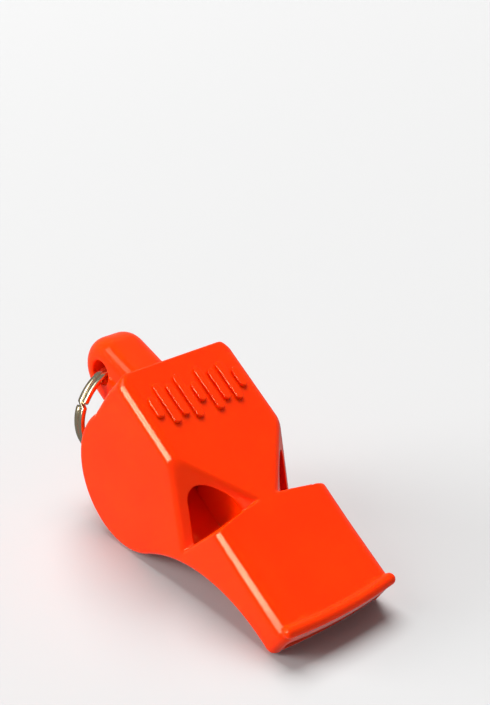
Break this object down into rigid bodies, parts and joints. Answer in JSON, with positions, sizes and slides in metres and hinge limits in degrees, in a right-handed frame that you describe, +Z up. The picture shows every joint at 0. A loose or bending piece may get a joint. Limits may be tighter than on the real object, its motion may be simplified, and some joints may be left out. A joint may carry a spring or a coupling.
{
  "type": "training whistle",
  "caption": "Pealess training whistle with side windows, a flat rounded mouthpiece with a lip bead, a rear lug and a swinging split ring.",
  "frame": {"origin": "on the table, under the middle of the whistle, which rests on its belly and the lower tips of its mouth", "axes": "+X towards the mouth, +Y to the whistle's left, +Z up"},
  "size_m": [0.0542, 0.02, 0.0273],
  "materials": {
    "casing": "moulded orange plastic, semi-gloss",
    "core": "moulded orange plastic, semi-gloss",
    "cover": "moulded orange plastic, semi-gloss",
    "ring": "plated spring steel wire, polished"
  },
  "bodies": {
    "whistle": {"main_body": "casing", "airway_core": "core", "lower_cover": "cover"},
    "ring": {"split_ring": "ring"}
  },
  "joints": [
    {"name": "ring_swing", "type": "hinge", "parent": "whistle", "child": "ring", "pos_m": [-0.02217, 0, 0.02072], "axis": [0, 1, 0], "range_deg": [-9, 235]}
  ]
}
